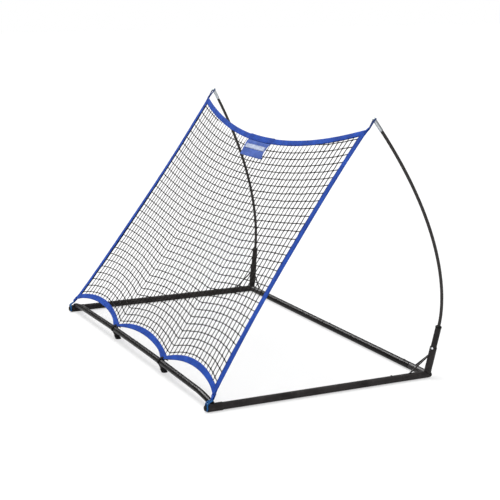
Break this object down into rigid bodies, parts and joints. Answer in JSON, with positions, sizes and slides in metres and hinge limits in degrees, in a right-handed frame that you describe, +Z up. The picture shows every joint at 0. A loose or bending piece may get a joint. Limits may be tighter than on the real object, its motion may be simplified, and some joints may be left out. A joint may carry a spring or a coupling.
{
  "type": "rebounder net",
  "caption": "Portable ball rebounder: a leaning net with a blue binding, tied to a ground frame of black steel tube and held up by bent poles.",
  "frame": {"origin": "on the floor, at the middle of the part's bounding box in X and Y", "axes": "+X across to the right as seen from the front tube, +Y from the front tube to the rear rail, +Z up"},
  "size_m": [1.571, 0.9458, 0.9745],
  "materials": {
    "frame_steel": "satin black powder coat",
    "button_dark": "satin",
    "button_bright": "polished",
    "black_plastic": "matte",
    "foot_rubber": "matte",
    "pole_fibreglass": "semi-gloss",
    "ferrule_aluminium": "satin",
    "cap_plastic": "matte",
    "net_cord": "twisted cord",
    "binding_blue": "woven",
    "tab_fabric": "woven",
    "strap_fabric": "hook and loop",
    "elastic_blue": "braided"
  },
  "bodies": {
    "frame": {"front_tube_left": "frame_steel", "front_tube_right": "frame_steel", "front_sleeve_left": "frame_steel", "front_sleeve_right": "frame_steel", "foot_leg_left": "frame_steel", "foot_leg_right": "frame_steel", "foot_rubber_left": "foot_rubber", "foot_rubber_right": "foot_rubber", "side_rail_left": "frame_steel", "side_rail_right": "frame_steel", "rear_corner_left": "frame_steel", "rear_corner_right": "frame_steel", "rear_rail_left": "frame_steel", "rear_rail_right": "frame_steel", "socket_left": "frame_steel", "socket_right": "frame_steel", "brace_side_left": "frame_steel", "brace_side_right": "frame_steel", "brace_rear_left": "frame_steel", "brace_rear_right": "frame_steel", "holder_left": "frame_steel", "holder_right": "frame_steel", "collar_left": "black_plastic", "collar_right": "black_plastic", "end_plug_left": "black_plastic", "end_plug_right": "black_plastic", "pole_left": "pole_fibreglass", "pole_right": "pole_fibreglass", "ferrule_left": "ferrule_aluminium", "ferrule_right": "ferrule_aluminium", "cap_left": "cap_plastic", "cap_right": "cap_plastic", "net": "net_cord", "binding_top": "binding_blue", "binding_bottom": "binding_blue", "binding_left": "binding_blue", "binding_right": "binding_blue", "tab": "tab_fabric", "tie_left": "strap_fabric", "tie_right": "strap_fabric", "lower_cord_left": "elastic_blue", "lower_cord_right": "elastic_blue", "upper_cord_left": "elastic_blue", "upper_cord_right": "elastic_blue"},
    "front_snap": {"front_button": "button_dark"},
    "rear_middle_snap": {"rear_button_middle": "button_dark"},
    "rear_left_snap": {"rear_button_left": "button_dark"},
    "rear_right_snap": {"rear_button_right": "button_dark"},
    "side_left_snap": {"side_button_left": "button_dark"},
    "side_right_snap": {"side_button_right": "button_dark"},
    "socket_left_snap": {"socket_button_left": "button_bright"},
    "socket_right_snap": {"socket_button_right": "button_bright"}
  },
  "joints": [
    {"name": "front_snap_press", "type": "slide", "parent": "frame", "child": "front_snap", "axis": [0, 0, -1], "range_m": [0, 0.0045], "stiffness_N_per_m": 3000, "springref_m": -0.001},
    {"name": "rear_middle_snap_press", "type": "slide", "parent": "frame", "child": "rear_middle_snap", "axis": [0, 0, -1], "range_m": [0, 0.0052], "stiffness_N_per_m": 3000, "springref_m": -0.001},
    {"name": "rear_left_snap_press", "type": "slide", "parent": "frame", "child": "rear_left_snap", "axis": [0, 0, -1], "range_m": [0, 0.0052], "stiffness_N_per_m": 3000, "springref_m": -0.001},
    {"name": "rear_right_snap_press", "type": "slide", "parent": "frame", "child": "rear_right_snap", "axis": [0, 0, -1], "range_m": [0, 0.0052], "stiffness_N_per_m": 3000, "springref_m": -0.001},
    {"name": "side_left_snap_press", "type": "slide", "parent": "frame", "child": "side_left_snap", "axis": [0, 0, -1], "range_m": [0, 0.0052], "stiffness_N_per_m": 3000, "springref_m": -0.001},
    {"name": "side_right_snap_press", "type": "slide", "parent": "frame", "child": "side_right_snap", "axis": [0, 0, -1], "range_m": [0, 0.0052], "stiffness_N_per_m": 3000, "springref_m": -0.001},
    {"name": "socket_left_snap_press", "type": "slide", "parent": "frame", "child": "socket_left_snap", "axis": [0.5768, 0.8141, -0.0673], "range_m": [0, 0.0052], "stiffness_N_per_m": 3000, "springref_m": -0.001},
    {"name": "socket_right_snap_press", "type": "slide", "parent": "frame", "child": "socket_right_snap", "axis": [-0.5768, 0.8141, -0.0673], "range_m": [0, 0.0052], "stiffness_N_per_m": 3000, "springref_m": -0.001}
  ]
}
